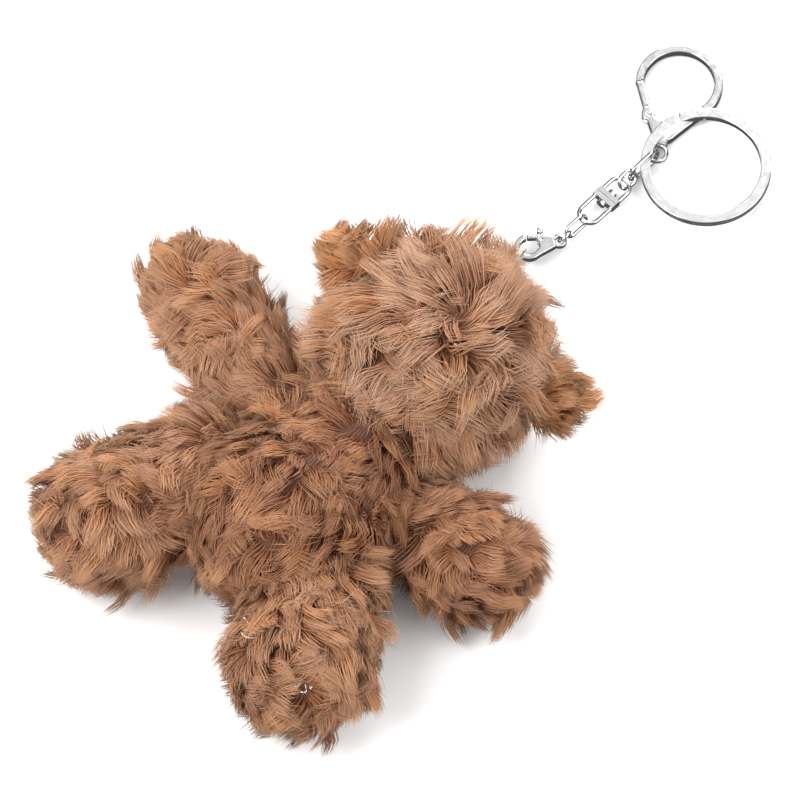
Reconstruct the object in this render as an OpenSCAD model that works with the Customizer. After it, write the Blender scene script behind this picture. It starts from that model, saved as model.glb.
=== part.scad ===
// Plush bear keychain: a stuffed bear lying on its back, with a hang loop,
// small clasp, swivel chain, split ring and large spring clasp.
// Millimetres. +Y is toward the bear's head, +X is the bear's own left, +Z is
// the belly side, and the back rests on z = 0.

/* [Plush body] */
// radius of the head over the pressed pile
head_r = 26; // [22:0.5:30]
// radius of the lower torso ball
belly_r = 24.5; // [20:0.5:28]
// radius of the upper torso ball
chest_r = 20; // [17:0.5:22]
// thickness of the fur fabric with its pile pressed down
pile = 5; // [3:0.5:7]
// roll of the face toward the bear's left, degrees
head_roll = 22; // [0:1:30]
// tilt of the head toward the bear's right shoulder, degrees
head_tilt = 8; // [0:1:15]
// gap round each limb's sewn root
seam_gap = 0.35; // [0.3:0.05:0.6]

/* [Limbs] */
// radius of the arm at the shoulder
arm_root_r = 10.5; // [9:0.5:12]
// radius of the paw
paw_r = 13; // [11:0.5:14]
// radius of the leg at the hip
leg_root_r = 14; // [11:0.5:14]
// radius of the foot
foot_r = 16; // [14:0.5:18]
// radius of the ear
ear_r = 7; // [6:0.5:10]

/* [Face] */
// radius of the bead eyes
eye_r = 2; // [1.8:0.1:4]
// radius of the bead nose
nose_r = 2; // [1.8:0.1:4]

/* [Hardware] */
// outer diameter of the split ring
ring_od = 30; // [25:1:35]
// radial width of the split ring's flat wire
ring_band = 2.4; // [2:0.1:3]
// thickness of the two coils together
ring_t = 1.7; // [1.4:0.1:2]
// wire radius of the two large chain links
link_wire = 0.45; // [0.35:0.05:0.5]
// wire radius of the swivel's loops
swivel_wire = 0.5; // [0.4:0.05:0.6]
// outer radius of the large clasp's hook
hook_r = 10; // [9:0.5:11]
// width of the large clasp's stock
hook_stock = 1.9; // [1.5:0.1:2.2]
// thickness of the large clasp
hook_t = 2; // [1.6:0.1:2]
// radius of the clasp gates' pivot bores minus their pins
gate_play = 0.05; // [0.02:0.01:0.1]

/* [Hidden] */
$fn = 48;
// puts the box of the whole assembly over the origin
SHIFT = [1.75, -11.2, 0];
e = 0.01;

// bear positions
HEAD = [7, 2.2, head_r + 0.3];
BELLY = [5, -47, 21];
CHEST = [5, -31, 20];
ARM_L = [23, -30.2, 15.5];
PAW_L = [43, -29.5, 15];
ARM_R = [-16.5, -24.9, 15.5];
PAW_R = [-46.5, -12.5, 15];
HIP_L = [19.4, -57.4, 19];
FOOT_L = [28.6, -74.8, 20];
HIP_R = [-18, -50, 19];
FOOT_R = [-27, -71, 20];
seam_z = 20.6;
arm_flex = 16;
leg_flex = 16;
EYE = [7.62, 3.72, 22.67];
NOSE = [0.49, -6.39, 26.79];
MUZZLE = [0, -6, 15.5];
muzzle_r = 13;
EAR = [26, 5, 7];

// chain positions: s runs along the chain from the small clasp's eye
EYE_S = [5.3, 53.4];
chain_turn = -7.35;
zc = 3;
clasp_turn = -39;
RING = [20.7, 88.7];
BIG = [9.05, 85.75];
big_turn = 20.9;
big_z = 1.75;

// ---- helpers ----

module at_head() translate(HEAD) rotate([0, 0, head_tilt]) rotate([0, head_roll, 0]) children();

// points local +Z along the line from a to b
module along(a, b) {
    d = b - a;
    translate(a) rotate([0, acos(d[2] / norm(d)), atan2(d[1], d[0])]) children();
}

// half outline of two balls joined just inside their outer tangents, for a revolve
module limb_outline(l, ra, rb) {
    t = asin((rb - ra) / l);
    f = 0.985;
    intersection() {
        union() {
            circle(ra);
            translate([0, l]) circle(rb);
            polygon([[-1, -ra * sin(t)], [f * ra * cos(t), -f * ra * sin(t)], [f * rb * cos(t), l - f * rb * sin(t)], [-1, l - rb * sin(t)]]);
        }
        translate([0, -50]) square([50, 150]);
    }
}

// two balls joined by the cone that touches both
module limb(a, ra, b, rb) along(a, b) rotate_extrude() limb_outline(norm(b - a), ra, rb);

// the hollow that a limb's ball root turns in
module socket(a, b, ra, rb, flex) {
    t = asin((rb - ra) / norm(b - a)) + flex + 1;
    r = ra + seam_gap;
    f = 0.975;
    along(a, b) rotate_extrude() intersection() {
        union() {
            circle(r);
            polygon([[-1, -r * sin(t)], [f * r * cos(t), -f * r * sin(t)], [f * r * cos(t) + 40 * tan(t), 40 - f * r * sin(t)], [-1, 40 - f * r * sin(t)]]);
        }
        translate([0, -50]) square([80, 150]);
    }
}

module sockets() {
    socket(ARM_L, PAW_L, arm_root_r, paw_r, arm_flex);
    socket(ARM_R, PAW_R, arm_root_r, paw_r, arm_flex);
    socket(HIP_L, FOOT_L, leg_root_r, foot_r, leg_flex);
    socket(HIP_R, FOOT_R, leg_root_r, foot_r, leg_flex);
    translate(HEAD) sphere(head_r + seam_gap);
}

module torso_form(inset = 0) {
    intersection() {
        limb(CHEST, chest_r - inset, BELLY, belly_r - inset);
        translate([-60, -100, inset]) cube([130, 130, 80]);
    }
}

module head_form(inset = 0) {
    sphere(head_r - inset);
    translate(MUZZLE) sphere(muzzle_r - inset);
}

// bead with a shank that points at the head's centre
module bead(p, r) {
    along(p, [0, 0, 0]) {
        sphere(r);
        cylinder(h = 9, r = 0.9);
    }
}

module washer(p) {
    along(p, [0, 0, 0]) translate([0, 0, 7]) difference() {
        cylinder(h = 1, r = 3.2);
        translate([0, 0, -1]) cylinder(h = 3, r = 0.9);
    }
}

module beads() {
    bead(EYE, eye_r);
    bead([-EYE[0], EYE[1], EYE[2]], eye_r);
    bead(NOSE, nose_r);
}

module washers() {
    washer(EYE);
    washer([-EYE[0], EYE[1], EYE[2]]);
    washer(NOSE);
}

// chain frame: local +Y runs along the chain
module on_chain(roll = 0) translate([EYE_S[0], EYE_S[1], zc]) rotate([0, 0, chain_turn]) rotate([0, -roll, 0]) children();

// half ring of wire that opens toward -Y
module bow(hw, r) rotate_extrude(angle = 180) translate([hw, 0]) circle(r);

// closed oval link from s0 to s1
module link(s0, s1, hw, r) {
    a = s0 + r + hw;
    b = s1 - r - hw;
    translate([0, b, 0]) bow(hw, r);
    translate([0, a, 0]) rotate([0, 0, 180]) bow(hw, r);
    for (x = [-hw, hw]) translate([x, a, 0]) rotate([-90, 0, 0]) cylinder(h = b - a, r = r);
}

// flat drop shape: two discs joined just inside their outer tangents
module drop(yb, rb, yh, rh) {
    s = sign(yh - yb);
    a = asin((rh - rb) / abs(yh - yb));
    f = 0.98;
    translate([0, yb]) circle(rb);
    translate([0, yh]) circle(rh);
    polygon([
        [-f * rb * cos(a), yb - s * f * rb * sin(a)], [f * rb * cos(a), yb - s * f * rb * sin(a)],
        [f * rh * cos(a), yh - s * f * rh * sin(a)], [-f * rh * cos(a), yh - s * f * rh * sin(a)]
    ]);
}

// ---- plush ----

module head_front_panel() color([0.66, 0.45, 0.32]) at_head() difference() {
    intersection() {
        head_form();
        translate([-40, -40, 0]) cube([80, 80, 60]);
    }
    intersection() {
        head_form(pile);
        translate([-40, -40, -1]) cube([80, 80, 60]);
    }
    beads();
}

module head_back_panel() color([0.6, 0.4, 0.28]) difference() {
    at_head() difference() {
        intersection() {
            sphere(head_r);
            translate([-40, -40, -60]) cube([80, 80, 60]);
        }
        intersection() {
            sphere(head_r - pile);
            translate([-40, -40, -60]) cube([80, 80, 61]);
        }
    }
    loop_cord();
}

// cut flat behind the face, which leaves room for the shanks and washers
module head_stuffing() color([0.94, 0.93, 0.9]) difference() {
    at_head() difference() {
        sphere(head_r - pile - 0.02);
        translate([-30, -30, 13.6]) cube([60, 60, 20]);
    }
    loop_cord();
}

// ear: a fat disc sewn across the head's seam
module ear(side) at_head() difference() {
    intersection() {
        translate([side * EAR[0], EAR[1], EAR[2]]) rotate([0, 0, side > 0 ? 180 : 0]) sphere(ear_r);
        translate([-60, -40, EAR[2] - 4.5]) cube([120, 80, 9]);
    }
    sphere(head_r + 0.15);
}

module ear_left() color([0.62, 0.38, 0.24]) ear(1);
module ear_right() color([0.62, 0.38, 0.24]) ear(-1);

module eye_left() color([0.03, 0.03, 0.03]) at_head() bead(EYE, eye_r);
module eye_right() color([0.03, 0.03, 0.03]) at_head() bead([-EYE[0], EYE[1], EYE[2]], eye_r);
module nose() color([0.16, 0.07, 0.08]) at_head() bead(NOSE, nose_r);
module eye_nose_washers() color([0.9, 0.9, 0.9]) at_head() washers();

module torso_front_panel() color([0.64, 0.44, 0.31]) difference() {
    torso_form();
    torso_form(pile);
    translate([-60, -100, -1]) cube([130, 130, seam_z + 1]);
    sockets();
}

module torso_back_panel() color([0.6, 0.4, 0.28]) difference() {
    torso_form();
    torso_form(pile);
    translate([-60, -100, seam_z]) cube([130, 130, 60]);
    sockets();
}

module torso_stuffing() color([0.94, 0.93, 0.9]) difference() {
    torso_form(pile + 0.1);
    sockets();
}

// loose ends of the hand stitches that close the left foot
module stitch(d, turn) along(FOOT_L, FOOT_L + d) translate([0, 0, foot_r + 0.26]) rotate([0, 0, turn])
    for (x = [-1.2, 0, 1.2]) translate([x, -1.6, 0]) rotate([-90, 0, 0]) cylinder(h = 3.2, r = 0.25);
module closing_stitches() color([0.88, 0.84, 0.78]) {
    stitch([8.3, -9.3, 12], 20);
    stitch([-8.9, -5.8, 13], 65);
}

module arm_skin(a, b) difference() {
    limb(a, arm_root_r, b, paw_r);
    limb(a, arm_root_r - pile + 1.5, b, paw_r - pile);
}
module arm_left_skin() color([0.65, 0.44, 0.31]) arm_skin(ARM_L, PAW_L);
module arm_right_skin() color([0.65, 0.44, 0.31]) arm_skin(ARM_R, PAW_R);
module arm_left_stuffing() color([0.94, 0.93, 0.9]) limb(ARM_L, arm_root_r - pile + 1.5, PAW_L, paw_r - pile);
module arm_right_stuffing() color([0.94, 0.93, 0.9]) limb(ARM_R, arm_root_r - pile + 1.5, PAW_R, paw_r - pile);

module leg_skin(a, b) difference() {
    limb(a, leg_root_r, b, foot_r);
    limb(a, leg_root_r - pile + 1.5, b, foot_r - pile);
}
module leg_left_skin() color([0.65, 0.44, 0.31]) leg_skin(HIP_L, FOOT_L);
module leg_right_skin() color([0.65, 0.44, 0.31]) leg_skin(HIP_R, FOOT_R);
module leg_left_stuffing() color([0.94, 0.93, 0.9]) limb(HIP_L, leg_root_r - pile + 1.5, FOOT_L, foot_r - pile);
module leg_right_stuffing() color([0.94, 0.93, 0.9]) limb(HIP_R, leg_root_r - pile + 1.5, FOOT_R, foot_r - pile);

// ---- hang loop ----

cord_r = 0.6;
loop_h = 2;
// where the cord's bend sits inside the small clasp's hook
LOOP_TIP = [EYE_S[0] + 8.3 * sin(clasp_turn), EYE_S[1] - 8.3 * cos(clasp_turn), zc];
// where the two strands enter the back of the crown
LOOP_ROOT = [3.7, 23.5, 15.2];
loop_turn = atan2(LOOP_TIP[0] - LOOP_ROOT[0], LOOP_TIP[1] - LOOP_ROOT[1]);

module strand(a, b) along(a, b) {
    cylinder(h = norm(b - a), r = cord_r);
    sphere(cord_r * 1.06);
}

module loop_cord() {
    c = LOOP_TIP - [loop_h * sin(loop_turn), loop_h * cos(loop_turn), 0];
    translate(c) rotate([0, 0, -loop_turn]) rotate([0, 90, 0]) bow(loop_h, cord_r);
    strand(c + [0, 0, loop_h], LOOP_ROOT + [0, 0.5, 0.8]);
    strand(c - [0, 0, loop_h], LOOP_ROOT - [0, 0.5, 0.8]);
}
module hang_loop() color([0.92, 0.9, 0.86]) loop_cord();

// ---- small clasp: the eye is at the local origin, the hook toward -Y ----

sp = [-1.55, -3.9];
module small_frame() translate([EYE_S[0], EYE_S[1], zc]) rotate([0, 0, clasp_turn]) children();
small_t = 1.6;

module small_clasp_body() color([0.8, 0.8, 0.82]) small_frame() difference() {
    union() {
        translate([0, -7.2, -small_t / 2]) cylinder(h = small_t, r = 3.25);
        translate([0, 0, -small_t / 2]) linear_extrude(small_t) polygon([[-1.35, -1.1], [1.35, -1.1], [2.9, -6], [-2.9, -6]]);
        translate([0, 0, -0.55]) cylinder(h = 1.1, r = 1.7);
    }
    translate([0, -7.2, -2]) cylinder(h = 4, r = 2.05);
    translate([0, 0, -2]) linear_extrude(4) polygon([[-0.7, -4.75], [0.7, -4.75], [1.7, -6.2], [-1.7, -6.2]]);
    translate([0, 0, -2]) cylinder(h = 4, r = 0.95);
    // mouth, closed by the gate
    translate([-4.4, -7.3, -2]) cube([4.2, 2.4, 4]);
    // slot for the gate's knuckle
    translate([-4.4, -5.4, -0.45]) cube([4.1, 3, 0.9]);
    translate([sp[0], sp[1], -2]) cylinder(h = 4, r = 0.35);
}

module small_clasp_gate() color([0.78, 0.78, 0.8]) small_frame() difference() {
    union() {
        translate([0, 0, -0.4]) linear_extrude(0.4) {
            translate(sp) circle(0.95);
            polygon([[sp[0] - 0.95, sp[1]], [sp[0] + 0.6, sp[1]], [-1.75, -5.3], [-2.85, -5.3]]);
        }
        // arm that closes the mouth
        translate([0, 0, -0.7]) linear_extrude(1.4)
            polygon([[-2.75, -5.15], [-1.7, -5.15], [-2.15, -7.05], [-2.75, -7.05], [-3.1, -6.6]]);
        // thumb lever
        translate([0, 0, -0.4]) linear_extrude(0.4)
            polygon([[sp[0] - 0.6, sp[1] - 0.75], [sp[0] - 0.6, sp[1] + 0.75], [-3.4, -3.3], [-3.4, -4.1]]);
        translate([-3.6, -3.7, -0.7]) cylinder(h = 1.4, r = 0.7);
    }
    translate([sp[0], sp[1], -2]) cylinder(h = 4, r = 0.35 + gate_play);
}

module small_clasp_pin() color([0.7, 0.7, 0.72]) small_frame() translate([sp[0], sp[1], -0.8]) cylinder(h = 1.6, r = 0.35);

module small_clasp_spring() color([0.6, 0.6, 0.62]) small_frame() translate([sp[0], sp[1], 0.05]) difference() {
    cylinder(h = 0.36, r = 0.75);
    translate([0, 0, -1]) cylinder(h = 3, r = 0.4);
}

// ---- chain ----

module jump_ring() color([0.8, 0.8, 0.82]) on_chain(60) translate([0, 1.65, 0])
    rotate_extrude() translate([1.65, 0]) circle(0.35);

module small_link() color([0.8, 0.8, 0.82]) on_chain(120) link(2, 9, 1.4, 0.4);

rivet_r = 0.6;
module swivel_loop(bar, tip, dir) {
    hw = 2.5;
    a = tip - dir * (swivel_wire + hw);
    translate([0, a, 0]) rotate([0, 0, dir > 0 ? 0 : 180]) bow(hw, swivel_wire);
    for (x = [-hw, hw]) translate([x, min(a, bar), 0]) rotate([-90, 0, 0]) cylinder(h = abs(a - bar), r = swivel_wire);
    difference() {
        translate([-3, bar - 0.6, -1.1]) cube([6, 1.2, 2.2]);
        translate([0, bar - 2, 0]) rotate([-90, 0, 0]) cylinder(h = 4, r = rivet_r + 0.05);
    }
}
module swivel_lower_loop() color([0.8, 0.8, 0.82]) on_chain() swivel_loop(14.8, 7.05, -1);
module swivel_upper_loop() color([0.8, 0.8, 0.82]) on_chain() swivel_loop(16.1, 22.4, 1);
module swivel_rivet() color([0.75, 0.75, 0.78]) on_chain() {
    translate([0, 13.6, 0]) rotate([-90, 0, 0]) cylinder(h = 3.7, r = rivet_r);
    translate([0, 13.3, 0]) rotate([-90, 0, 0]) cylinder(h = 0.85, r = 1.1);
    translate([0, 16.75, 0]) rotate([-90, 0, 0]) cylinder(h = 0.9, r = 1.1);
}

module link_a() color([0.8, 0.8, 0.82]) on_chain(135) link(19.6, 25.2, 1.7, link_wire);
module link_b() color([0.8, 0.8, 0.82]) on_chain(90) link(22.75, 32.7, 2.5, link_wire);

// ---- split ring: two flat coils; the wire's ends are stepped into the band ----

module split_ring() color([0.82, 0.82, 0.84]) translate([RING[0], RING[1], zc - 0.1]) difference() {
    cylinder(h = ring_t, r = ring_od / 2, $fn = 96);
    translate([0, 0, -1]) cylinder(h = ring_t + 2, r = ring_od / 2 - ring_band, $fn = 96);
    // line between the coils, outside and inside
    translate([0, 0, ring_t / 2 - 0.06]) difference() {
        cylinder(h = 0.12, r = ring_od / 2 + 1, $fn = 96);
        translate([0, 0, -1]) cylinder(h = 3, r = ring_od / 2 - 0.25, $fn = 96);
    }
    // the two wire ends
    rotate([0, 0, 152]) translate([ring_od / 2 - ring_band - 0.5, -0.35, ring_t / 2]) cube([ring_band + 1, 0.7, 2]);
    rotate([0, 0, 128]) translate([ring_od / 2 - ring_band - 0.5, -0.35, -1]) cube([ring_band + 1, 0.7, 1 + ring_t / 2]);
}

// ---- large clasp: the eye is at the local origin, the hook toward +Y ----

hook_y = 18.7;
base_y = 6;
base_r = 3;
flank = asin((hook_r - base_r) / (hook_y - base_y));
// pivot of the gate, on the middle of the bear's-right flank
mid_r = base_r - hook_stock / 2;
gp = [-mid_r * cos(flank) - 5 * sin(flank), base_y - mid_r * sin(flank) + 5 * cos(flank)];
tip = [-hook_r * cos(11) + hook_stock / 2, hook_y - hook_r * sin(11)];
gate_a = atan2(tip[1] - gp[1], tip[0] - gp[0]);
gate_l = norm(tip - gp);

module big_frame() translate([BIG[0], BIG[1], big_z]) rotate([0, 0, big_turn]) children();

// gate's own frame: pivot at the origin, arm along +X
module at_gate() translate(gp) rotate([0, 0, gate_a]) children();

module big_clasp_body() color([0.82, 0.82, 0.84]) big_frame() difference() {
    union() {
        // eye
        difference() {
            rotate_extrude() translate([2.15, 0]) circle(0.45);
        }
        translate([0, 0, -hook_t / 2]) linear_extrude(hook_t) difference() {
            union() {
                drop(base_y, base_r, hook_y, hook_r);
                translate([-1.6, 2.1]) square([3.2, 2.5]);
                translate(gp) circle(1.7);
            }
            difference() {
                drop(base_y, base_r - hook_stock, hook_y, hook_r - hook_stock);
                translate([-6, 0]) square([12, 8.3]);
            }
            // mouth, closed by the gate
            polygon([
                gp + 2.05 * [cos(gate_a), sin(gate_a)] + 2.6 * [cos(gate_a + 90), sin(gate_a + 90)],
                gp + 2.05 * [cos(gate_a), sin(gate_a)] - 2.2 * [cos(gate_a + 90), sin(gate_a + 90)],
                tip - 2.2 * [cos(gate_a + 90), sin(gate_a + 90)],
                tip + 2.6 * [cos(gate_a + 90), sin(gate_a + 90)]
            ]);
        }
    }
    // slot for the gate's knuckle and spring
    translate([0, 0, -0.6]) linear_extrude(1.2) translate(gp) {
        circle(1.95);
        rotate(gate_a) translate([0, -3.2]) square([3, 5.2]);
    }
    translate([gp[0], gp[1], -2]) cylinder(h = 4, r = 0.45);
}

module big_clasp_gate() color([0.78, 0.78, 0.8]) big_frame() difference() {
    at_gate() {
        translate([0, 0, -0.55]) cylinder(h = 0.6, r = 1.35);
        translate([0, -0.75, -0.55]) cube([3, 1.5, 0.6]);
        translate([2.15, -0.8, -0.9]) cube([gate_l - 2.15 - 0.1, 1.6, 1.8]);
    }
    translate([gp[0], gp[1], -2]) cylinder(h = 4, r = 0.45 + gate_play);
}

module big_clasp_pin() color([0.7, 0.7, 0.72]) big_frame() translate([gp[0], gp[1], -hook_t / 2]) cylinder(h = hook_t, r = 0.45);

module big_clasp_spring() color([0.6, 0.6, 0.62]) big_frame() translate([gp[0], gp[1], 0.1]) difference() {
    cylinder(h = 0.45, r = 0.95);
    translate([0, 0, -1]) cylinder(h = 3, r = 0.55);
}

// ---- nodes ----

translate(SHIFT) head_front_panel();
translate(SHIFT) head_back_panel();
translate(SHIFT) head_stuffing();
translate(SHIFT) ear_left();
translate(SHIFT) ear_right();
translate(SHIFT) eye_left();
translate(SHIFT) eye_right();
translate(SHIFT) nose();
translate(SHIFT) eye_nose_washers();
translate(SHIFT) torso_front_panel();
translate(SHIFT) torso_back_panel();
translate(SHIFT) torso_stuffing();
translate(SHIFT) closing_stitches();
translate(SHIFT) arm_left_skin();
translate(SHIFT) arm_left_stuffing();
translate(SHIFT) arm_right_skin();
translate(SHIFT) arm_right_stuffing();
translate(SHIFT) leg_left_skin();
translate(SHIFT) leg_left_stuffing();
translate(SHIFT) leg_right_skin();
translate(SHIFT) leg_right_stuffing();
translate(SHIFT) hang_loop();
translate(SHIFT) small_clasp_body();
translate(SHIFT) small_clasp_gate();
translate(SHIFT) small_clasp_pin();
translate(SHIFT) small_clasp_spring();
translate(SHIFT) jump_ring();
translate(SHIFT) small_link();
translate(SHIFT) swivel_lower_loop();
translate(SHIFT) swivel_rivet();
translate(SHIFT) swivel_upper_loop();
translate(SHIFT) link_a();
translate(SHIFT) link_b();
translate(SHIFT) split_ring();
translate(SHIFT) big_clasp_body();
translate(SHIFT) big_clasp_gate();
translate(SHIFT) big_clasp_pin();
translate(SHIFT) big_clasp_spring();
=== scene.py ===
import math
import bmesh
import bpy
import numpy as np
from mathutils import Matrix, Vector
from mathutils.kdtree import KDTree


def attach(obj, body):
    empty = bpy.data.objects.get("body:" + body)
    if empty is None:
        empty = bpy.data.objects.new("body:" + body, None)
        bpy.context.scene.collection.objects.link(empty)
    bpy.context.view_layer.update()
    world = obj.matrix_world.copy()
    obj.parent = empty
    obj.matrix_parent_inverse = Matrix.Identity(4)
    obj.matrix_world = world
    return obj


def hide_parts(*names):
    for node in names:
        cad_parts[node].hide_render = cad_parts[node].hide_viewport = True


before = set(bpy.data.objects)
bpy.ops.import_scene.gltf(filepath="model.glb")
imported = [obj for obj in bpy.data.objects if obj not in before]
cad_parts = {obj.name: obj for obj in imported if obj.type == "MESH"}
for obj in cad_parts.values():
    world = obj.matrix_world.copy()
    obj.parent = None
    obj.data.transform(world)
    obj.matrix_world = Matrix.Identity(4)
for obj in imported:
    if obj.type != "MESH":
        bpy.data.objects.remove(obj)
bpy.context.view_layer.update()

MM = 0.001
SHIFT = np.array([1.75, -11.2, 0.0])


def row(p):
    """Bear frame in millimetres to the row frame in metres."""
    return (np.asarray(p, float) + SHIFT) * MM


# ---------------------------------------------------------------- camera
def look(azimuth, elevation, target, width, distance):
    a, e = math.radians(azimuth), math.radians(elevation)
    back = Vector((math.sin(a) * math.cos(e), -math.cos(a) * math.cos(e), math.sin(e)))
    cam = bpy.data.objects.new("camera", bpy.data.cameras.new("camera"))
    bpy.context.scene.collection.objects.link(cam)
    cam.data.sensor_width = 36
    cam.data.lens = 36 * distance / width
    cam.data.clip_start, cam.data.clip_end = 0.1, 40
    cam.location = Vector(target) + back * distance
    cam.rotation_mode = "QUATERNION"
    cam.rotation_quaternion = (-back).to_track_quat("-Z", "Y")
    bpy.context.scene.camera = cam
    return cam


look(37, 62, row([0, 0, 0]), 0.1818, 4.0)

# ---------------------------------------------------------------- places, bear frame, mm
HEAD = np.array([7.0, 2.2, 26.3])
a8, a22 = math.radians(8), math.radians(22)
RZ = np.array([[math.cos(a8), -math.sin(a8), 0], [math.sin(a8), math.cos(a8), 0], [0, 0, 1]])
RY = np.array([[math.cos(a22), 0, math.sin(a22)], [0, 1, 0], [-math.sin(a22), 0, math.cos(a22)]])
HR = RZ @ RY


def on_head(p):
    return HEAD + HR @ np.asarray(p, float)


EYE_L, EYE_R = on_head([7.62, 3.72, 22.67]), on_head([-7.62, 3.72, 22.67])
NOSE = on_head([0.49, -6.39, 26.79])
MUZZLE = on_head([0, -6, 15.5])
EAR_L, EAR_R = on_head([26, 5, 7]), on_head([-26, 5, 7])
BELLY, CHEST = np.array([5.0, -47, 21]), np.array([5.0, -31, 20])
ARM_L, PAW_L = np.array([23.0, -30.2, 15.5]), np.array([43.0, -29.5, 15])
ARM_R, PAW_R = np.array([-16.5, -24.9, 15.5]), np.array([-46.5, -12.5, 15])
HIP_L, FOOT_L = np.array([19.4, -57.4, 19]), np.array([28.6, -74.8, 20])
HIP_R, FOOT_R = np.array([-18.0, -50, 19]), np.array([-27.0, -71, 20])
SINK = 3.4  # the cloth backing lies this far under the pressed pile


# ---------------------------------------------------------------- shapes as distance fields
def ball(p, c, r):
    return np.linalg.norm(p - c, axis=-1) - r


def limb(p, a, ra, b, rb):
    d = b - a
    t = np.clip(((p - a) @ d) / (d @ d), 0, 1)
    return np.linalg.norm(p - a - t[..., None] * d, axis=-1) - (ra + (rb - ra) * t)


def soft_min(a, b, k):
    h = np.clip(0.5 + 0.5 * (b - a) / k, 0, 1)
    return b * (1 - h) + a * h - k * h * (1 - h)


def above(p, z):
    """Positive below the height z, where the piece is flattened by what it rests on."""
    return z - p[..., 2]


def head_field(p):
    f = soft_min(ball(p, HEAD, 26 - SINK), ball(p, MUZZLE, 13 - SINK), 5)
    return -soft_min(-f, -above(p, 2.2), 3)


def torso_field(p):
    f = limb(p, CHEST, 20 - SINK, BELLY, 24.5 - SINK)
    return -soft_min(-f, -above(p, 2.0), 4)


def ear_field(c):
    n = HR @ np.array([0, 0, 1.0])

    def f(p):
        q = p - c
        h = q @ n
        flat = q - h[..., None] * n
        return np.sqrt((np.linalg.norm(flat, axis=-1) / 5.2) ** 2 + (h / 3.0) ** 2) * 3.0 - 3.0
    return f


def limb_field(a, ra, b, rb):
    def f(p):
        g = limb(p, a, ra - SINK + 0.9, b, rb - SINK + 0.9)
        return -soft_min(-g, -above(p, 2.2), 3)
    return f


def ripple(p, seed):
    """Small smooth bumps of a stuffed cloth, in mm."""
    rng = np.random.default_rng(seed)
    out = np.zeros(p.shape[:-1])
    for k in range(10):
        w = rng.normal(size=3)
        w *= (0.25 + 0.5 * rng.random()) / np.linalg.norm(w)
        out += np.sin(p @ w + rng.random() * 6.28) / (3 + k)
    return out


def star_skin(name, centre, field, level, seed, amount=0.45, reach=70.0):
    """A closed skin: an icosphere's directions carried out to the field's surface."""
    bm = bmesh.new()
    bmesh.ops.create_icosphere(bm, subdivisions=level, radius=1)
    me = bpy.data.meshes.new(name)
    bm.to_mesh(me)
    bm.free()
    n = len(me.vertices)
    u = np.empty(n * 3)
    me.vertices.foreach_get("co", u)
    u = u.reshape(-1, 3)
    u /= np.linalg.norm(u, axis=1)[:, None]
    lo, hi = np.zeros(n), np.full(n, reach)
    for _ in range(40):
        mid = (lo + hi) / 2
        inside = field(centre + u * mid[:, None]) < 0
        lo, hi = np.where(inside, mid, lo), np.where(inside, hi, mid)
    p = centre + u * lo[:, None]
    p += u * (ripple(p, seed) * amount)[:, None]
    p[:, 2] = np.maximum(p[:, 2], 0.6)
    me.vertices.foreach_set("co", row(p).ravel())
    me.update()
    me.shade_smooth()
    o = bpy.data.objects.new(name, me)
    bpy.context.scene.collection.objects.link(o)
    tri = np.empty(len(me.polygons) * 3, int)
    me.polygons.foreach_get("vertices", tri)
    return o, p, tri.reshape(-1, 3)


# ---------------------------------------------------------------- fur
def scatter(p, tri, count, rng, under=0.45):
    """count points spread over the skin, with their normals; fewer on the side it lies on."""
    a, b, c = p[tri[:, 0]], p[tri[:, 1]], p[tri[:, 2]]
    cr = np.cross(b - a, c - a)
    area = np.linalg.norm(cr, axis=1)
    face_n = cr / area[:, None]
    vn = np.zeros_like(p)
    for k in range(3):
        np.add.at(vn, tri[:, k], cr)
    vn /= np.linalg.norm(vn, axis=1)[:, None] + 1e-12
    weight = area * np.where(face_n[:, 2] < -0.5, under, 1.0)
    pick = rng.choice(len(tri), count, p=weight / weight.sum())
    r1, r2 = np.sqrt(rng.random(count)), rng.random(count)
    w = np.c_[1 - r1, r1 * (1 - r2), r1 * r2][:, :, None]
    t = tri[pick]
    root = p[t[:, 0]] * w[:, 0] + p[t[:, 1]] * w[:, 1] + p[t[:, 2]] * w[:, 2]
    n = vn[t[:, 0]] * w[:, 0] + vn[t[:, 1]] * w[:, 1] + vn[t[:, 2]] * w[:, 2]
    return root, n / np.linalg.norm(n, axis=1)[:, None]


def unit(v):
    return v / (np.linalg.norm(v, axis=-1)[..., None] + 1e-9)


def flatten(v, n):
    return v - (v * n).sum(-1)[..., None] * n


def spread(points, gap, rng, start=()):
    """Some of the points, each at least gap from the others."""
    kept = [np.asarray(s, float) for s in start]
    for i in rng.permutation(len(points)):
        if all(np.linalg.norm(points[i] - k) > gap for k in kept):
            kept.append(points[i])
    return np.array(kept)


def nearest(points, centres):
    tree = KDTree(len(centres))
    for i, c in enumerate(centres):
        tree.insert(c, i)
    tree.balance()
    return np.array([tree.find(q)[1] for q in points])


STEPS = 3


def paths(root, n, lay, length, lift, curl, wave, phase):
    """Points along each strand, STEPS + 1 of them."""
    out = [root - n * 0.6]
    side = np.cross(n, lay)
    for k in range(STEPS):
        t = (k + 0.5) / STEPS
        turn = curl * t + wave * np.sin(phase + 5.0 * t)
        flow = lay * np.cos(turn)[:, None] + side * np.sin(turn)[:, None]
        up = lift * (1.25 - 1.15 * t)
        out.append(out[-1] + unit(flow + n * up[:, None]) * (length / STEPS)[:, None])
    return out


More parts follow.
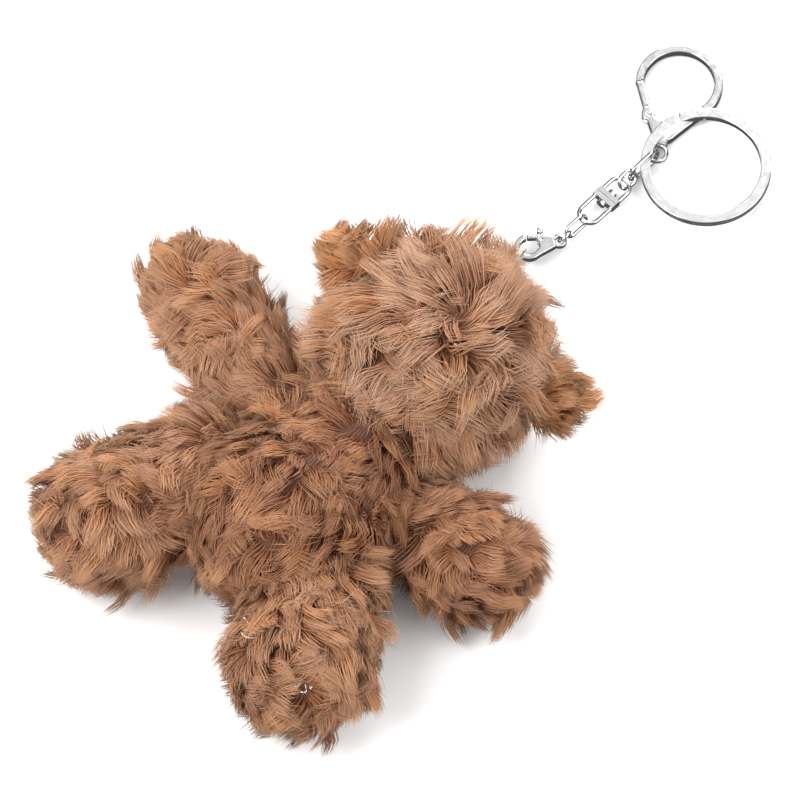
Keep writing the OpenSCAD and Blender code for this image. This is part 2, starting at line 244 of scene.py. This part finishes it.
def strands(name, body, skin, count, base, seed, length, width, lift=0.75, whirls=(), gap=13.0,
            size=6.0, strength=1.6, tuft=2.7, coat=0, clump=0.56, tint=0.5, keep=None, change=None, sense=0.75, wildness=0.1, mess=0.24):
    """A coat of closed tapered strands over a skin, gathered into tufts and rosettes."""
    _, p, tri = skin
    rng = np.random.default_rng(seed)
    fibre = np.random.default_rng(seed * 100 + coat)
    seeds, seeds_n = scatter(p, tri, 900, rng)
    centres = spread(seeds, gap, rng, whirls)
    spin = np.where(rng.random(len(centres)) < sense, 1.0, -1.0)
    power = strength * rng.uniform(0.5, 1.2, len(centres))
    power[: len(whirls)] = strength * 1.25
    # tufts
    many, many_n = scatter(p, tri, 9000, rng)
    order = rng.permutation(len(many))
    tree = KDTree(len(many))
    for i, q in enumerate(many):
        tree.insert(q, i)
    tree.balance()
    gone, chosen = np.zeros(len(many), bool), []
    for i in order:
        if not gone[i]:
            chosen.append(i)
            for _, j, _ in tree.find_range(many[i], tuft):
                gone[j] = True
    tc, tn = many[chosen], many_n[chosen]
    root, n = scatter(p, tri, count, fibre)
    own = nearest(root, tc)
    m = len(tc)

    def lay_at(q, qn):
        lay = unit(flatten(base(q), qn)) * 0.55
        for c, s, w0 in zip(centres, spin, power):
            d = q - c
            r = np.linalg.norm(d, axis=1)
            near = r < size * 2.6
            if not near.any():
                continue
            dn = unit(flatten(d[near], qn[near]))
            w = (np.exp(-(r[near] / size) ** 2) * w0)[:, None]
            lay[near] += w * (np.cross(qn[near], dn) * s * 1.05 + dn * 0.3)
        return unit(flatten(lay, qn))

    t_lift = lift * rng.uniform(0.65, 1.35, m)
    t_len = length * rng.uniform(0.82, 1.15, m)
    t_curl = rng.normal(0, 0.38, m) + 0.3
    t_phase = rng.random(m) * 6.28
    t_wave = rng.uniform(0.15, 0.55, m)
    t_turn = rng.normal(0, mess, m)
    t_col = rng.random(m)
    wild = rng.random(m) < wildness
    t_lift = np.where(wild, t_lift * 1.7, t_lift)
    t_len = np.where(wild, t_len * 1.2, t_len)
    t_col = np.where(wild, 0.75 + 0.25 * t_col, t_col)
    lay_t = lay_at(tc, tn)
    lay_t = lay_t * np.cos(t_turn)[:, None] + np.cross(tn, lay_t) * np.sin(t_turn)[:, None]
    if change is not None:
        t_len, t_lift, t_col = change(tc, t_len, t_lift, t_col)
    tuft_path = paths(tc, tn, lay_t, t_len, t_lift, t_curl, t_wave, t_phase)

    lay = lay_at(root, n)
    turn = t_turn[own] + fibre.normal(0, 0.16, count)
    lay = lay * np.cos(turn)[:, None] + np.cross(n, lay) * np.sin(turn)[:, None]
    slen = t_len[own] * fibre.uniform(0.68, 1.1, count)
    slift = t_lift[own] * fibre.uniform(0.8, 1.2, count)
    path = paths(root, n, lay, slen, slift, t_curl[own] + fibre.normal(0, 0.15, count), t_wave[own], t_phase[own])
    stray = fibre.random(count) < 0.07
    for k in range(1, STEPS + 1):
        g = clump * (k / STEPS) ** 1.4 * np.where(stray, 0.1, 1.0)
        path[k] = path[k] + (tuft_path[k][own] - path[k]) * g[:, None]
    if keep is not None:
        ok = keep(path, fibre)
        path = [q[ok] for q in path]
        own, n, slen = own[ok], n[ok], slen[ok]
    count = len(own)
    path = np.array(path)
    path[:, :, 2] = np.maximum(path[:, :, 2], 0.35 + 0.25 * fibre.random((1, count)))
    # rings of three points, and one at the tip
    taper = np.array([0.8, 1.0, 0.72])
    wide = width * fibre.uniform(0.75, 1.3, count)
    rings = np.empty((count, STEPS * 3 + 1, 3))
    # normals between the strand's own and the skin's, which light a coat softly
    soft = np.empty_like(rings)
    start = fibre.random(count) * 6.28
    for k in range(STEPS):
        d = unit(path[min(k + 1, STEPS)] - path[max(k - 1, 0)])
        sx = unit(np.cross(d, n + 0.01))
        sy = np.cross(d, sx)
        for j in range(3):
            ang = start + j * 2 * math.pi / 3
            off = sx * np.cos(ang)[:, None] + sy * np.sin(ang)[:, None] * 0.8
            rings[:, k * 3 + j] = path[k] + off * (wide / 2 * taper[k])[:, None]
            soft[:, k * 3 + j] = unit(unit(off) * 0.68 + n * 0.38)
    rings[:, -1] = path[STEPS]
    soft[:, -1] = n
    rings[:, :, 2] = np.maximum(rings[:, :, 2], 0.12)
    per = STEPS * 3 + 1
    quads, tris = [], [[2, 1, 0]]
    for k in range(STEPS - 1):
        for j in range(3):
            j2 = (j + 1) % 3
            quads.append([k * 3 + j, k * 3 + j2, (k + 1) * 3 + j2, (k + 1) * 3 + j])
    for j in range(3):
        tris.append([(STEPS - 1) * 3 + j, (STEPS - 1) * 3 + (j + 1) % 3, per - 1])
    quads, tris = np.array(quads), np.array(tris)
    base_i = (np.arange(count) * per)[:, None, None]
    q = (quads[None] + base_i).reshape(count, -1)
    t = (tris[None] + base_i).reshape(count, -1)
    loops = np.concatenate([q, t], axis=1).ravel()
    sizes = np.tile(np.r_[np.full(len(quads), 4), np.full(len(tris), 3)], count)
    me = bpy.data.meshes.new(name)
    me.vertices.add(count * per)
    me.vertices.foreach_set("co", row(rings.reshape(-1, 3)).astype(np.float32).ravel())
    me.loops.add(len(loops))
    me.loops.foreach_set("vertex_index", loops.astype(np.int32))
    me.polygons.add(len(sizes))
    me.polygons.foreach_set("loop_start", np.r_[0, np.cumsum(sizes)[:-1]].astype(np.int32))
    me.update(calc_edges=True)
    me.shade_smooth()
    me.normals_split_custom_set_from_vertices(soft.reshape(-1, 3))
    along = np.tile(np.r_[np.repeat(np.arange(STEPS) / STEPS, 3), 1.0], count)
    single = np.repeat(fibre.random(count), per)
    tufted = np.repeat(t_col[own], per)
    for attr, value in (("fur_along", along), ("fur_strand", single), ("fur_tuft", tufted)):
        a = me.attributes.new(attr, "FLOAT", "POINT")
        a.data.foreach_set("value", value.astype(np.float32))
    o = bpy.data.objects.new(name, me)
    bpy.context.scene.collection.objects.link(o)
    me.materials.append(fur_material(tint))
    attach(o, body)
    return o


# ---------------------------------------------------------------- materials
def lin(*rgb):
    return tuple(((c / 255 + 0.055) / 1.055) ** 2.4 if c > 10 else c / 255 / 12.92 for c in rgb) + (1.0,)


def new_material(name):
    m = bpy.data.materials.new(name)
    m.use_nodes = True
    nt = m.node_tree
    return m, nt, nt.nodes["Principled BSDF"]


def ramp(nt, value, stops):
    r = nt.nodes.new("ShaderNodeValToRGB")
    while len(r.color_ramp.elements) < len(stops):
        r.color_ramp.elements.new(0.5)
    for el, (pos, col) in zip(r.color_ramp.elements, stops):
        el.position, el.color = pos, col
    if value is not None:
        nt.links.new(value, r.inputs["Fac"])
    return r


def mix(nt, kind, fac, a, b):
    n = nt.nodes.new("ShaderNodeMix")
    n.data_type, n.blend_type = "RGBA", kind
    for sock, v in ((n.inputs[0], fac), (n.inputs[6], a), (n.inputs[7], b)):
        if hasattr(v, "links"):
            nt.links.new(v, sock)
        else:
            sock.default_value = v
    return n.outputs[2]


def noise(nt, scale, detail=3.0, rough=0.5):
    c = nt.nodes.new("ShaderNodeTexCoord")
    n = nt.nodes.new("ShaderNodeTexNoise")
    n.inputs["Scale"].default_value = scale
    n.inputs["Detail"].default_value = detail
    n.inputs["Roughness"].default_value = rough
    nt.links.new(c.outputs["Object"], n.inputs["Vector"])
    return n.outputs["Fac"]


def bump(nt, b, height, strength, distance):
    n = nt.nodes.new("ShaderNodeBump")
    n.inputs["Strength"].default_value = strength
    n.inputs["Distance"].default_value = distance
    nt.links.new(height, n.inputs["Height"])
    nt.links.new(n.outputs["Normal"], b.inputs["Normal"])


def attribute(nt, name):
    a = nt.nodes.new("ShaderNodeAttribute")
    a.attribute_name = name
    return a.outputs["Fac"]


# light, mid, shade and dark are one brown fur at four brightnesses: partly the coats' own tone, partly painted light
# (light) and painted shade (shade, dark)
TINTS = {
    # root, lower, middle, tip
    "light": ((103, 64, 41), (152, 106, 78), (181, 139, 112), (199, 163, 137)),
    "mid": ((102, 60, 38), (148, 99, 71), (173, 127, 98), (189, 146, 117)),
    "shade": ((95, 55, 34), (139, 91, 64), (163, 116, 88), (179, 134, 106)),
    "dark": ((88, 50, 31), (129, 82, 57), (152, 105, 78), (169, 123, 95)),
    "orange": ((112, 60, 30), (166, 104, 63), (190, 135, 93), (205, 157, 117)),
}


FIBRES = {}


def fur_material(tint):
    if tint in FIBRES:
        return FIBRES[tint]
    m, nt, b = new_material("fibre_" + tint)
    FIBRES[tint] = m
    # the tint's root-to-tip colours carry painted light or painted shade on top of the fur's own tone
    cols = [lin(*c) for c in TINTS[tint]]
    along = ramp(nt, attribute(nt, "fur_along"), [(0.0, cols[0]), (0.3, cols[1]), (0.65, cols[2]), (1.0, cols[3])])
    warm = [lin(*c) for c in TINTS["orange"]]
    along_w = ramp(nt, attribute(nt, "fur_along"), [(0.0, warm[0]), (0.3, warm[1]), (0.65, warm[2]), (1.0, warm[3])])
    pick = ramp(nt, attribute(nt, "fur_tuft"), [(0.6, (0.05, 0.05, 0.05, 1)), (0.98, (0.7, 0.7, 0.7, 1))])
    col = mix(nt, "MIX", pick.outputs["Color"], along.outputs["Color"], along_w.outputs["Color"])
    vary = ramp(nt, attribute(nt, "fur_strand"), [(0.0, (0.82, 0.8, 0.78, 1)), (0.5, (0.96, 0.96, 0.96, 1)), (1.0, (1.07, 1.07, 1.07, 1))])
    col = mix(nt, "MULTIPLY", 1.0, col, vary.outputs["Color"])
    patch = ramp(nt, noise(nt, 70, 3), [(0.3, (0.84, 0.81, 0.78, 1)), (0.7, (1.1, 1.1, 1.1, 1))])
    col = mix(nt, "MULTIPLY", 0.9, col, patch.outputs["Color"])
    nt.links.new(col, b.inputs["Base Color"])
    rough = ramp(nt, noise(nt, 900, 2), [(0.3, (0.48, 0.48, 0.48, 1)), (0.7, (0.66, 0.66, 0.66, 1))])
    nt.links.new(rough.outputs["Color"], b.inputs["Roughness"])
    b.inputs["Specular IOR Level"].default_value = 0.2
    b.inputs["Sheen Weight"].default_value = 0.15
    b.inputs["Sheen Roughness"].default_value = 0.4
    b.inputs["Sheen Tint"].default_value = (1.0, 0.86, 0.72, 1)
    return m


def backing_material():
    """Knitted backing of the fur fabric, seen only in the gaps between tufts."""
    m, nt, b = new_material("knit_backing")
    c = nt.nodes.new("ShaderNodeTexCoord")
    w = nt.nodes.new("ShaderNodeTexWave")
    w.inputs["Scale"].default_value = 420
    w.inputs["Distortion"].default_value = 3
    nt.links.new(c.outputs["Object"], w.inputs["Vector"])
    col = ramp(nt, w.outputs["Fac"], [(0.2, lin(74, 40, 24)), (0.8, lin(112, 68, 44))])
    col2 = mix(nt, "MULTIPLY", 0.6, col.outputs["Color"], ramp(nt, noise(nt, 160, 4), [(0.3, (0.7, 0.66, 0.6, 1)), (0.7, (1.1, 1.08, 1.05, 1))]).outputs["Color"])
    nt.links.new(col2, b.inputs["Base Color"])
    b.inputs["Roughness"].default_value = 0.9
    b.inputs["Sheen Weight"].default_value = 0.4
    bump(nt, b, w.outputs["Fac"], 0.4, 0.0003)
    return m


def chrome_material(name, tone=(0.83, 0.83, 0.84), low=0.07, high=0.17, scratch=900, edge=0.0):
    m, nt, b = new_material(name)
    b.inputs["Metallic"].default_value = 1.0
    col = ramp(nt, noise(nt, 220, 4), [(0.3, tuple(c * 0.9 for c in tone) + (1,)), (0.7, tone + (1,))])
    nt.links.new(col.outputs["Color"], b.inputs["Base Color"])
    r = ramp(nt, noise(nt, scratch, 5, 0.65), [(0.35, (low, low, low, 1)), (0.75, (high, high, high, 1))])
    nt.links.new(r.outputs["Color"], b.inputs["Roughness"])
    bump(nt, b, noise(nt, 600, 3), 0.05, 0.0002)
    if edge:
        e = nt.nodes.new("ShaderNodeBevel")
        e.samples = 6
        e.inputs["Radius"].default_value = edge
        nt.links.new(e.outputs["Normal"], b.inputs["Normal"].links[0].from_node.inputs["Normal"])
    return m


def gloss_material(name, dark, light):
    m, nt, b = new_material(name)
    col = ramp(nt, noise(nt, 300, 3), [(0.3, dark), (0.7, light)])
    nt.links.new(col.outputs["Color"], b.inputs["Base Color"])
    r = ramp(nt, noise(nt, 800, 3), [(0.3, (0.1, 0.1, 0.1, 1)), (0.7, (0.22, 0.22, 0.22, 1))])
    nt.links.new(r.outputs["Color"], b.inputs["Roughness"])
    b.inputs["Coat Weight"].default_value = 0.6
    b.inputs["Coat Roughness"].default_value = 0.06
    return m


def cord_material(name, dark, light, scale):
    m, nt, b = new_material(name)
    c = nt.nodes.new("ShaderNodeTexCoord")
    w = nt.nodes.new("ShaderNodeTexWave")
    w.bands_direction = "DIAGONAL"
    w.inputs["Scale"].default_value = scale
    w.inputs["Distortion"].default_value = 1.2
    nt.links.new(c.outputs["Object"], w.inputs["Vector"])
    col = ramp(nt, w.outputs["Fac"], [(0.15, dark), (0.8, light)])
    nt.links.new(col.outputs["Color"], b.inputs["Base Color"])
    b.inputs["Roughness"].default_value = 0.75
    b.inputs["Sheen Weight"].default_value = 0.3
    bump(nt, b, w.outputs["Fac"], 0.5, 0.0002)
    return m


# ---------------------------------------------------------------- skins
backing = backing_material()


def skin(name, body, centre, field, level, seed, nodes, fill=0.85, amount=0.45):
    made = star_skin(name, np.asarray(centre, float), field, level, seed, amount)
    made[0].data.materials.append(backing)
    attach(made[0], body)
    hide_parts(*nodes)
    return made


head = skin("head_cloth", "head", HEAD, head_field, 5, 1, ["head_front_panel", "head_back_panel", "head_stuffing", "eye_nose_washers"])
torso = skin("torso_cloth", "torso", (BELLY + CHEST) / 2, torso_field, 5, 2, ["torso_front_panel", "torso_back_panel", "torso_stuffing"])
ear_l = skin("ear_left_cloth", "head", EAR_L, ear_field(EAR_L), 4, 3, ["ear_left"], 0.5, 0.2)
ear_r = skin("ear_right_cloth", "head", EAR_R, ear_field(EAR_R), 4, 4, ["ear_right"], 0.5, 0.2)
arm_l = skin("arm_left_cloth", "arm_left", (ARM_L + PAW_L) / 2, limb_field(ARM_L, 10.5, PAW_L, 13), 5, 5, ["arm_left_skin", "arm_left_stuffing"])
arm_r = skin("arm_right_cloth", "arm_right", (ARM_R + PAW_R) / 2, limb_field(ARM_R, 10.5, PAW_R, 13), 5, 6, ["arm_right_skin", "arm_right_stuffing"])
leg_l = skin("leg_left_cloth", "leg_left", (HIP_L + FOOT_L) / 2, limb_field(HIP_L, 14, FOOT_L, 16), 5, 7, ["leg_left_skin", "leg_left_stuffing"])
leg_r = skin("leg_right_cloth", "leg_right", (HIP_R + FOOT_R) / 2, limb_field(HIP_R, 14, FOOT_R, 16), 5, 8, ["leg_right_skin", "leg_right_stuffing"])


# ---------------------------------------------------------------- coats
def from_point(c, pull=(0, 0, 0)):
    c, pull = np.asarray(c, float), np.asarray(pull, float)
    return lambda p: unit(p - c) + pull


def towards(v):
    v = np.asarray(v, float)
    return lambda p: np.tile(v, (len(p), 1))


def face_gaps(path, rng):
    """Most of the fur stays off the left bead eye, and it lies over the nose instead of through it."""
    out = (NOSE - HEAD) / np.linalg.norm(NOSE - HEAD)
    for q in path[1:]:
        d = q - NOSE
        hit = np.linalg.norm(d, axis=1) < 3.3
        q[hit] = NOSE + unit(d[hit] + out * 1.6) * (3.1 + 0.5 * rng.random((hit.sum(), 1)))
    axis = (EYE_L - HEAD) / np.linalg.norm(EYE_L - HEAD)
    over = np.zeros(path[0].shape[0], bool)
    for q0, q1 in zip(path, path[1:]):
        for t in (0.25, 0.5, 0.75, 1.0):
            d = q0 + (q1 - q0) * t - EYE_L
            h = d @ axis
            over |= (np.linalg.norm(d - h[:, None] * axis, axis=1) < 1.5) & (h > -1)
    return ~(over & (rng.random(len(over)) < 0.93))


def face_change(c, length, lift, colour):
    """Shorter fur round the muzzle; taller fur beside the eyes and over the nose, which hides it."""
    d = np.linalg.norm(c - NOSE, axis=1)
    length = length * np.clip(0.7 + d / 30, 0.7, 1.1)
    for bead in (EYE_L, EYE_R):
        near = np.linalg.norm(c - bead, axis=1) < 6.5
        lift = np.where(near, np.maximum(lift, 0.7) * 1.2, lift)
        length = np.where(near, length * 1.1, length)
        colour = np.where(near, colour * 0.5, colour)
    over = d < 6.5
    lift = np.where(over, np.maximum(lift, 0.7) * 1.15, lift)
    length = np.where(over, length * 1.25, length)
    return length, lift, colour


def coats(name, body, made, count, base, seed, length, width, **more):
    """The same coat in two pieces, which share their tufts and rosettes."""
    for k, part in enumerate(("a", "b")):
        strands(f"{name}_{part}", body, made, count, base, seed, length, width, coat=k, **more)


# the head's light tint is partly the fur's own tone and partly painted light
coats("head_fur", "head", head, 12200, from_point(on_head([-3, 0, 17])), 11, 11.5, 0.27, tint="light", lift=0.72,
      whirls=[on_head(q) for q in ([-3, 1, 25], [12, -9, 20], [-11, 13, 18], [1, -17, 19], [15, 9, 15], [-15, -7, 17])],
      gap=12, size=5.8, strength=1.9, keep=face_gaps, change=face_change, wildness=0.16, mess=0.36)
# the torso's dark tint is partly the belly fur's own denser tone and partly painted shade
coats("torso_fur", "torso", torso, 11500, towards([-0.15, -1, 0.15]), 12, 10.0, 0.27, tint="dark", lift=0.6, gap=12.5, size=5.6, strength=1.9, whirls=[np.array([24.0, -40, 30]), np.array([11.0, -62, 36])])
strands("ear_left_fur", "head", ear_l, 2600, from_point(HEAD), 13, 9.5, 0.27, tint="orange", lift=0.6, gap=30, strength=0.25, clump=0.46, mess=0.5, wildness=0.45)
strands("ear_right_fur", "head", ear_r, 2600, from_point(HEAD), 14, 9.5, 0.27, tint="orange", lift=0.6, gap=30, strength=0.25, clump=0.46, mess=0.5, wildness=0.45)
# the left arm's shade tint is painted shade on the same brown fur as the right arm
coats("arm_left_fur", "arm_left", arm_l, 6800, towards(PAW_L - ARM_L), 15, 10.0, 0.27, tint="shade", lift=0.7, gap=12, size=5.5, strength=1.7, whirls=[np.array([43.0, -33, 28])], wildness=0.14)
coats("arm_right_fur", "arm_right", arm_r, 7600, towards(PAW_R - ARM_R), 16, 10.0, 0.27, tint="mid", lift=0.7, gap=12, size=5.5, strength=1.7, whirls=[np.array([-47.0, -16, 27])], wildness=0.14)
coats("leg_left_fur", "leg_left", leg_l, 9000, towards(FOOT_L - HIP_L), 17, 10.5, 0.27, tint="mid", lift=0.65, gap=13, size=6, strength=1.6, wildness=0.12)
coats("leg_right_fur", "leg_right", leg_r, 9400, towards(FOOT_R - HIP_R), 18, 10.5, 0.27, tint="mid", lift=0.65, gap=13, size=6, strength=1.6, wildness=0.12)

# ---------------------------------------------------------------- hang loop, one cord from root to root
EYE_S, ZC = np.array([5.3, 53.4]), 3.0
ct = math.radians(-39)
TIP = np.array([EYE_S[0] + 8.3 * math.sin(ct), EYE_S[1] - 8.3 * math.cos(ct), ZC])
ROOT = np.array([3.7, 23.5, 15.2])
turn = math.atan2(TIP[0] - ROOT[0], TIP[1] - ROOT[1])
fwd = np.array([math.sin(turn), math.cos(turn), 0])
LC = TIP - 2 * fwd
up = np.array([0, 0.5, 0.8])
line = [ROOT + up + (LC + [0, 0, 2] - ROOT - up) * t for t in np.linspace(0, 1, 10)[:-1]]
line += [LC + fwd * 2 * math.sin(a) + np.array([0, 0, 2 * math.cos(a)]) for a in np.linspace(0, math.pi, 13)]
line += [ROOT - up + (LC - [0, 0, 2] - ROOT + up) * t for t in np.linspace(1, 0, 10)[1:]]
line = row(line)
cu = bpy.data.curves.new("hang_cord", "CURVE")
cu.dimensions = "3D"
sp = cu.splines.new("POLY")
sp.points.add(len(line) - 1)
for q, v in zip(sp.points, line):
    q.co = (*v, 1)
cu.bevel_depth = 0.6 * MM
cu.bevel_resolution = 3
cu.use_fill_caps = True
hang = bpy.data.objects.new("hang_cord", cu)
bpy.context.scene.collection.objects.link(hang)
cu.materials.append(cord_material("braided_cord", lin(196, 188, 176), lin(240, 236, 228), 900))
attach(hang, "head")
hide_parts("hang_loop")

# ---------------------------------------------------------------- loose thread ends on the left foot
def thread(bm, a, b, side, r):
    """A thin closed tube along a bowed line from a to b."""
    pts = [a + (b - a) * t + side * math.sin(math.pi * t) for t in np.linspace(0, 1, 9)]
    rings = []
    for i, c in enumerate(pts):
        d = Vector(pts[min(i + 1, 8)] - pts[max(i - 1, 0)]).normalized()
        x = d.orthogonal().normalized()
        y = d.cross(x)
        rings.append([bm.verts.new(Vector(row(c)) + (x * math.cos(k * math.pi / 3) + y * math.sin(k * math.pi / 3)) * r * MM) for k in range(6)])
    for r0, r1 in zip(rings, rings[1:]):
        for k in range(6):
            bm.faces.new((r0[k], r0[(k + 1) % 6], r1[(k + 1) % 6], r1[k]))
    bm.faces.new(list(reversed(rings[0])))
    bm.faces.new(rings[-1])


bm = bmesh.new()
rng = np.random.default_rng(5)
for d in (np.array([8.3, -9.3, 12]), np.array([-8.9, -5.8, 13])):
    u = d / np.linalg.norm(d)
    x = unit(np.cross(u, [0.3, 0.2, 1.0]))
    for k in range(3):
        a = FOOT_L + u * 16.0 + x * (k - 1) * 1.2
        b = FOOT_L + u * rng.uniform(17.8, 19.2) + x * ((k - 1) * 1.8 + rng.uniform(-0.6, 0.6)) + rng.normal(0, 0.9, 3)
        thread(bm, a, b, rng.normal(0, 0.5, 3), 0.13)
me = bpy.data.meshes.new("thread_ends")
bm.to_mesh(me)
bm.free()
me.shade_smooth()
threads = bpy.data.objects.new("thread_ends", me)
bpy.context.scene.collection.objects.link(threads)
me.materials.append(cord_material("sewing_thread", lin(214, 208, 200), lin(250, 248, 244), 2600))
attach(threads, "leg_left")
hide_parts("closing_stitches")

# ---------------------------------------------------------------- metal, beads
bright = chrome_material("polished_nickel")
ring_metal = chrome_material("tumbled_nickel", (0.86, 0.86, 0.86), 0.1, 0.24, 1400, 0.0004)
cast = chrome_material("cast_nickel", (0.76, 0.76, 0.77), 0.09, 0.2, 700, 0.0006)
spring = chrome_material("spring_steel", (0.6, 0.6, 0.62), 0.2, 0.35)
black = gloss_material("black_bead", lin(6, 5, 5), lin(20, 16, 14))
maroon = gloss_material("maroon_bead", lin(38, 14, 14), lin(66, 28, 26))


def finish(node, material):
    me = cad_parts[node].data
    me.materials.clear()
    me.materials.append(material)
    for poly in me.polygons:
        poly.material_index = 0


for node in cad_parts:
    if node in ("eye_left", "eye_right"):
        finish(node, black)
    elif node == "nose":
        finish(node, maroon)
    elif node == "split_ring":
        finish(node, ring_metal)
    elif node in ("small_clasp_body", "small_clasp_gate", "big_clasp_body", "big_clasp_gate"):
        finish(node, cast)
    elif node.endswith("_spring"):
        finish(node, spring)
    elif node in ("jump_ring", "small_link", "swivel_lower_loop", "swivel_upper_loop", "swivel_rivet", "link_a", "link_b", "small_clasp_pin", "big_clasp_pin"):
        finish(node, bright)

# ---------------------------------------------------------------- floor and light
fm, fnt, fb = new_material("white_sweep")
fc = ramp(fnt, noise(fnt, 2.0, 2), [(0.3, (0.93, 0.93, 0.93, 1)), (0.7, (0.95, 0.95, 0.95, 1))])
fnt.links.new(fc.outputs["Color"], fb.inputs["Base Color"])
fb.inputs["Roughness"].default_value = 0.9
fb.inputs["Specular IOR Level"].default_value = 0.1
fme = bpy.data.meshes.new("floor")
fme.from_pydata([(-9, -9, 0), (9, -9, 0), (9, 9, 0), (-9, 9, 0)], [], [(0, 1, 2, 3)])
fme.materials.append(fm)
floor = bpy.data.objects.new("floor", fme)
bpy.context.scene.collection.objects.link(floor)


def area(name, azimuth, elevation, distance, size, power, tone=(1, 1, 1)):
    a, e = math.radians(azimuth), math.radians(elevation)
    back = Vector((math.sin(a) * math.cos(e), -math.cos(a) * math.cos(e), math.sin(e)))
    ld = bpy.data.lights.new(name, "AREA")
    ld.shape, ld.size, ld.energy, ld.color = "DISK", size, power, tone
    lo = bpy.data.objects.new(name, ld)
    bpy.context.scene.collection.objects.link(lo)
    lo.location = back * distance
    lo.rotation_mode = "QUATERNION"
    lo.rotation_quaternion = (-back).to_track_quat("-Z", "Y")
    lo.visible_camera = False


area("key", -30, 52, 1.0, 0.7, 10)
area("fill", 110, 45, 1.1, 0.9, 6)
area("back", 200, 40, 1.0, 0.5, 6)
world = bpy.data.worlds.new("studio")
bpy.context.scene.world = world
world.use_nodes = True
wt = world.node_tree
bg = wt.nodes["Background"]
bg.inputs["Color"].default_value = (0.98, 0.99, 1.0, 1)
bg.inputs["Strength"].default_value = 0.8
# a studio of light and dark panels, which only polished surfaces show
tc = wt.nodes.new("ShaderNodeTexCoord")
sep = wt.nodes.new("ShaderNodeSeparateXYZ")
wt.links.new(tc.outputs["Generated"], sep.inputs[0])
half = wt.nodes.new("ShaderNodeMath")
half.operation = "MULTIPLY_ADD"
half.inputs[1].default_value = half.inputs[2].default_value = 0.5
wt.links.new(sep.outputs["Z"], half.inputs[0])
wr = ramp(wt, half.outputs[0], [(0.0, (0.1, 0.1, 0.1, 1)), (0.47, (0.08, 0.08, 0.08, 1)), (0.52, (0.7, 0.7, 0.7, 1)), (0.6, (0.12, 0.12, 0.12, 1)), (0.88, (0.06, 0.06, 0.06, 1)), (0.93, (0.8, 0.8, 0.8, 1)), (1.0, (0.9, 0.9, 0.9, 1))])
panels = wt.nodes.new("ShaderNodeBackground")
wt.links.new(wr.outputs["Color"], panels.inputs["Color"])
rays = wt.nodes.new("ShaderNodeLightPath")
both = wt.nodes.new("ShaderNodeMixShader")
wt.links.new(rays.outputs["Is Glossy Ray"], both.inputs[0])
wt.links.new(bg.outputs[0], both.inputs[1])
wt.links.new(panels.outputs[0], both.inputs[2])
wt.links.new(both.outputs[0], wt.nodes["World Output"].inputs["Surface"])
floor.visible_glossy = False
bpy.context.scene.view_settings.view_transform = "Standard"
